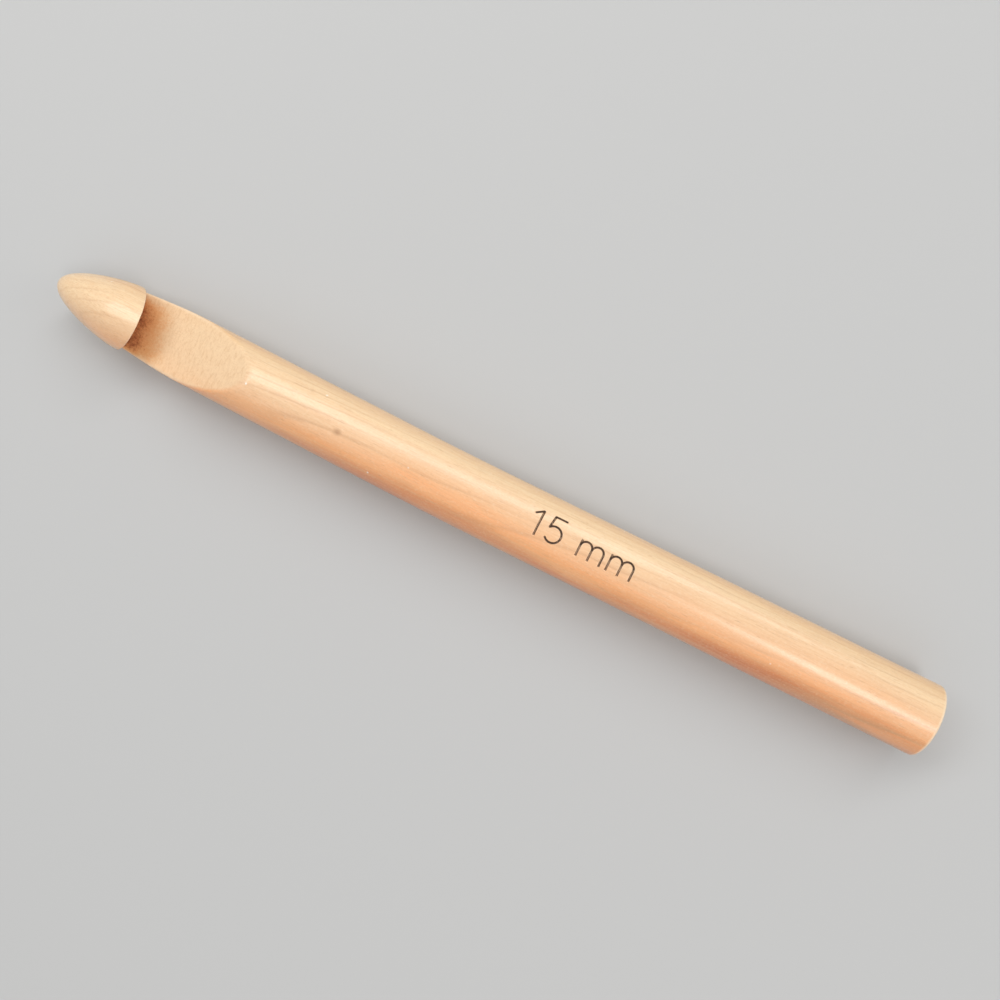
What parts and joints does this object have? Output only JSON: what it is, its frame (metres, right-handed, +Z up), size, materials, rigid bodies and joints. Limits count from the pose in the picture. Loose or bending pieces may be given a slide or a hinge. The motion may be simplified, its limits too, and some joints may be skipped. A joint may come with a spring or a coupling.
{
  "type": "crochet hook",
  "caption": "Large wooden crochet hook: rounded pointed head, undercut lip over a ramped throat, slightly narrower neck and plain round handle with a square-cut, chamfered butt.",
  "frame": {"origin": "on the surface that the hook lies on, under the middle of its length, with the throat facing up", "axes": "+X along the hook from the head's tip to the butt; +Z up, out of the throat; +Y sideways, square to the throat's mirror plane"},
  "size_m": [0.203, 0.015, 0.015],
  "materials": {
    "lacquered_wood": "pale fine-grained hardwood under a thin satin clear lacquer; raw and slightly fuzzy in the throat, scorched brown behind the lip"
  },
  "bodies": {
    "root": {"hook_body": "lacquered_wood"}
  },
  "joints": []
}
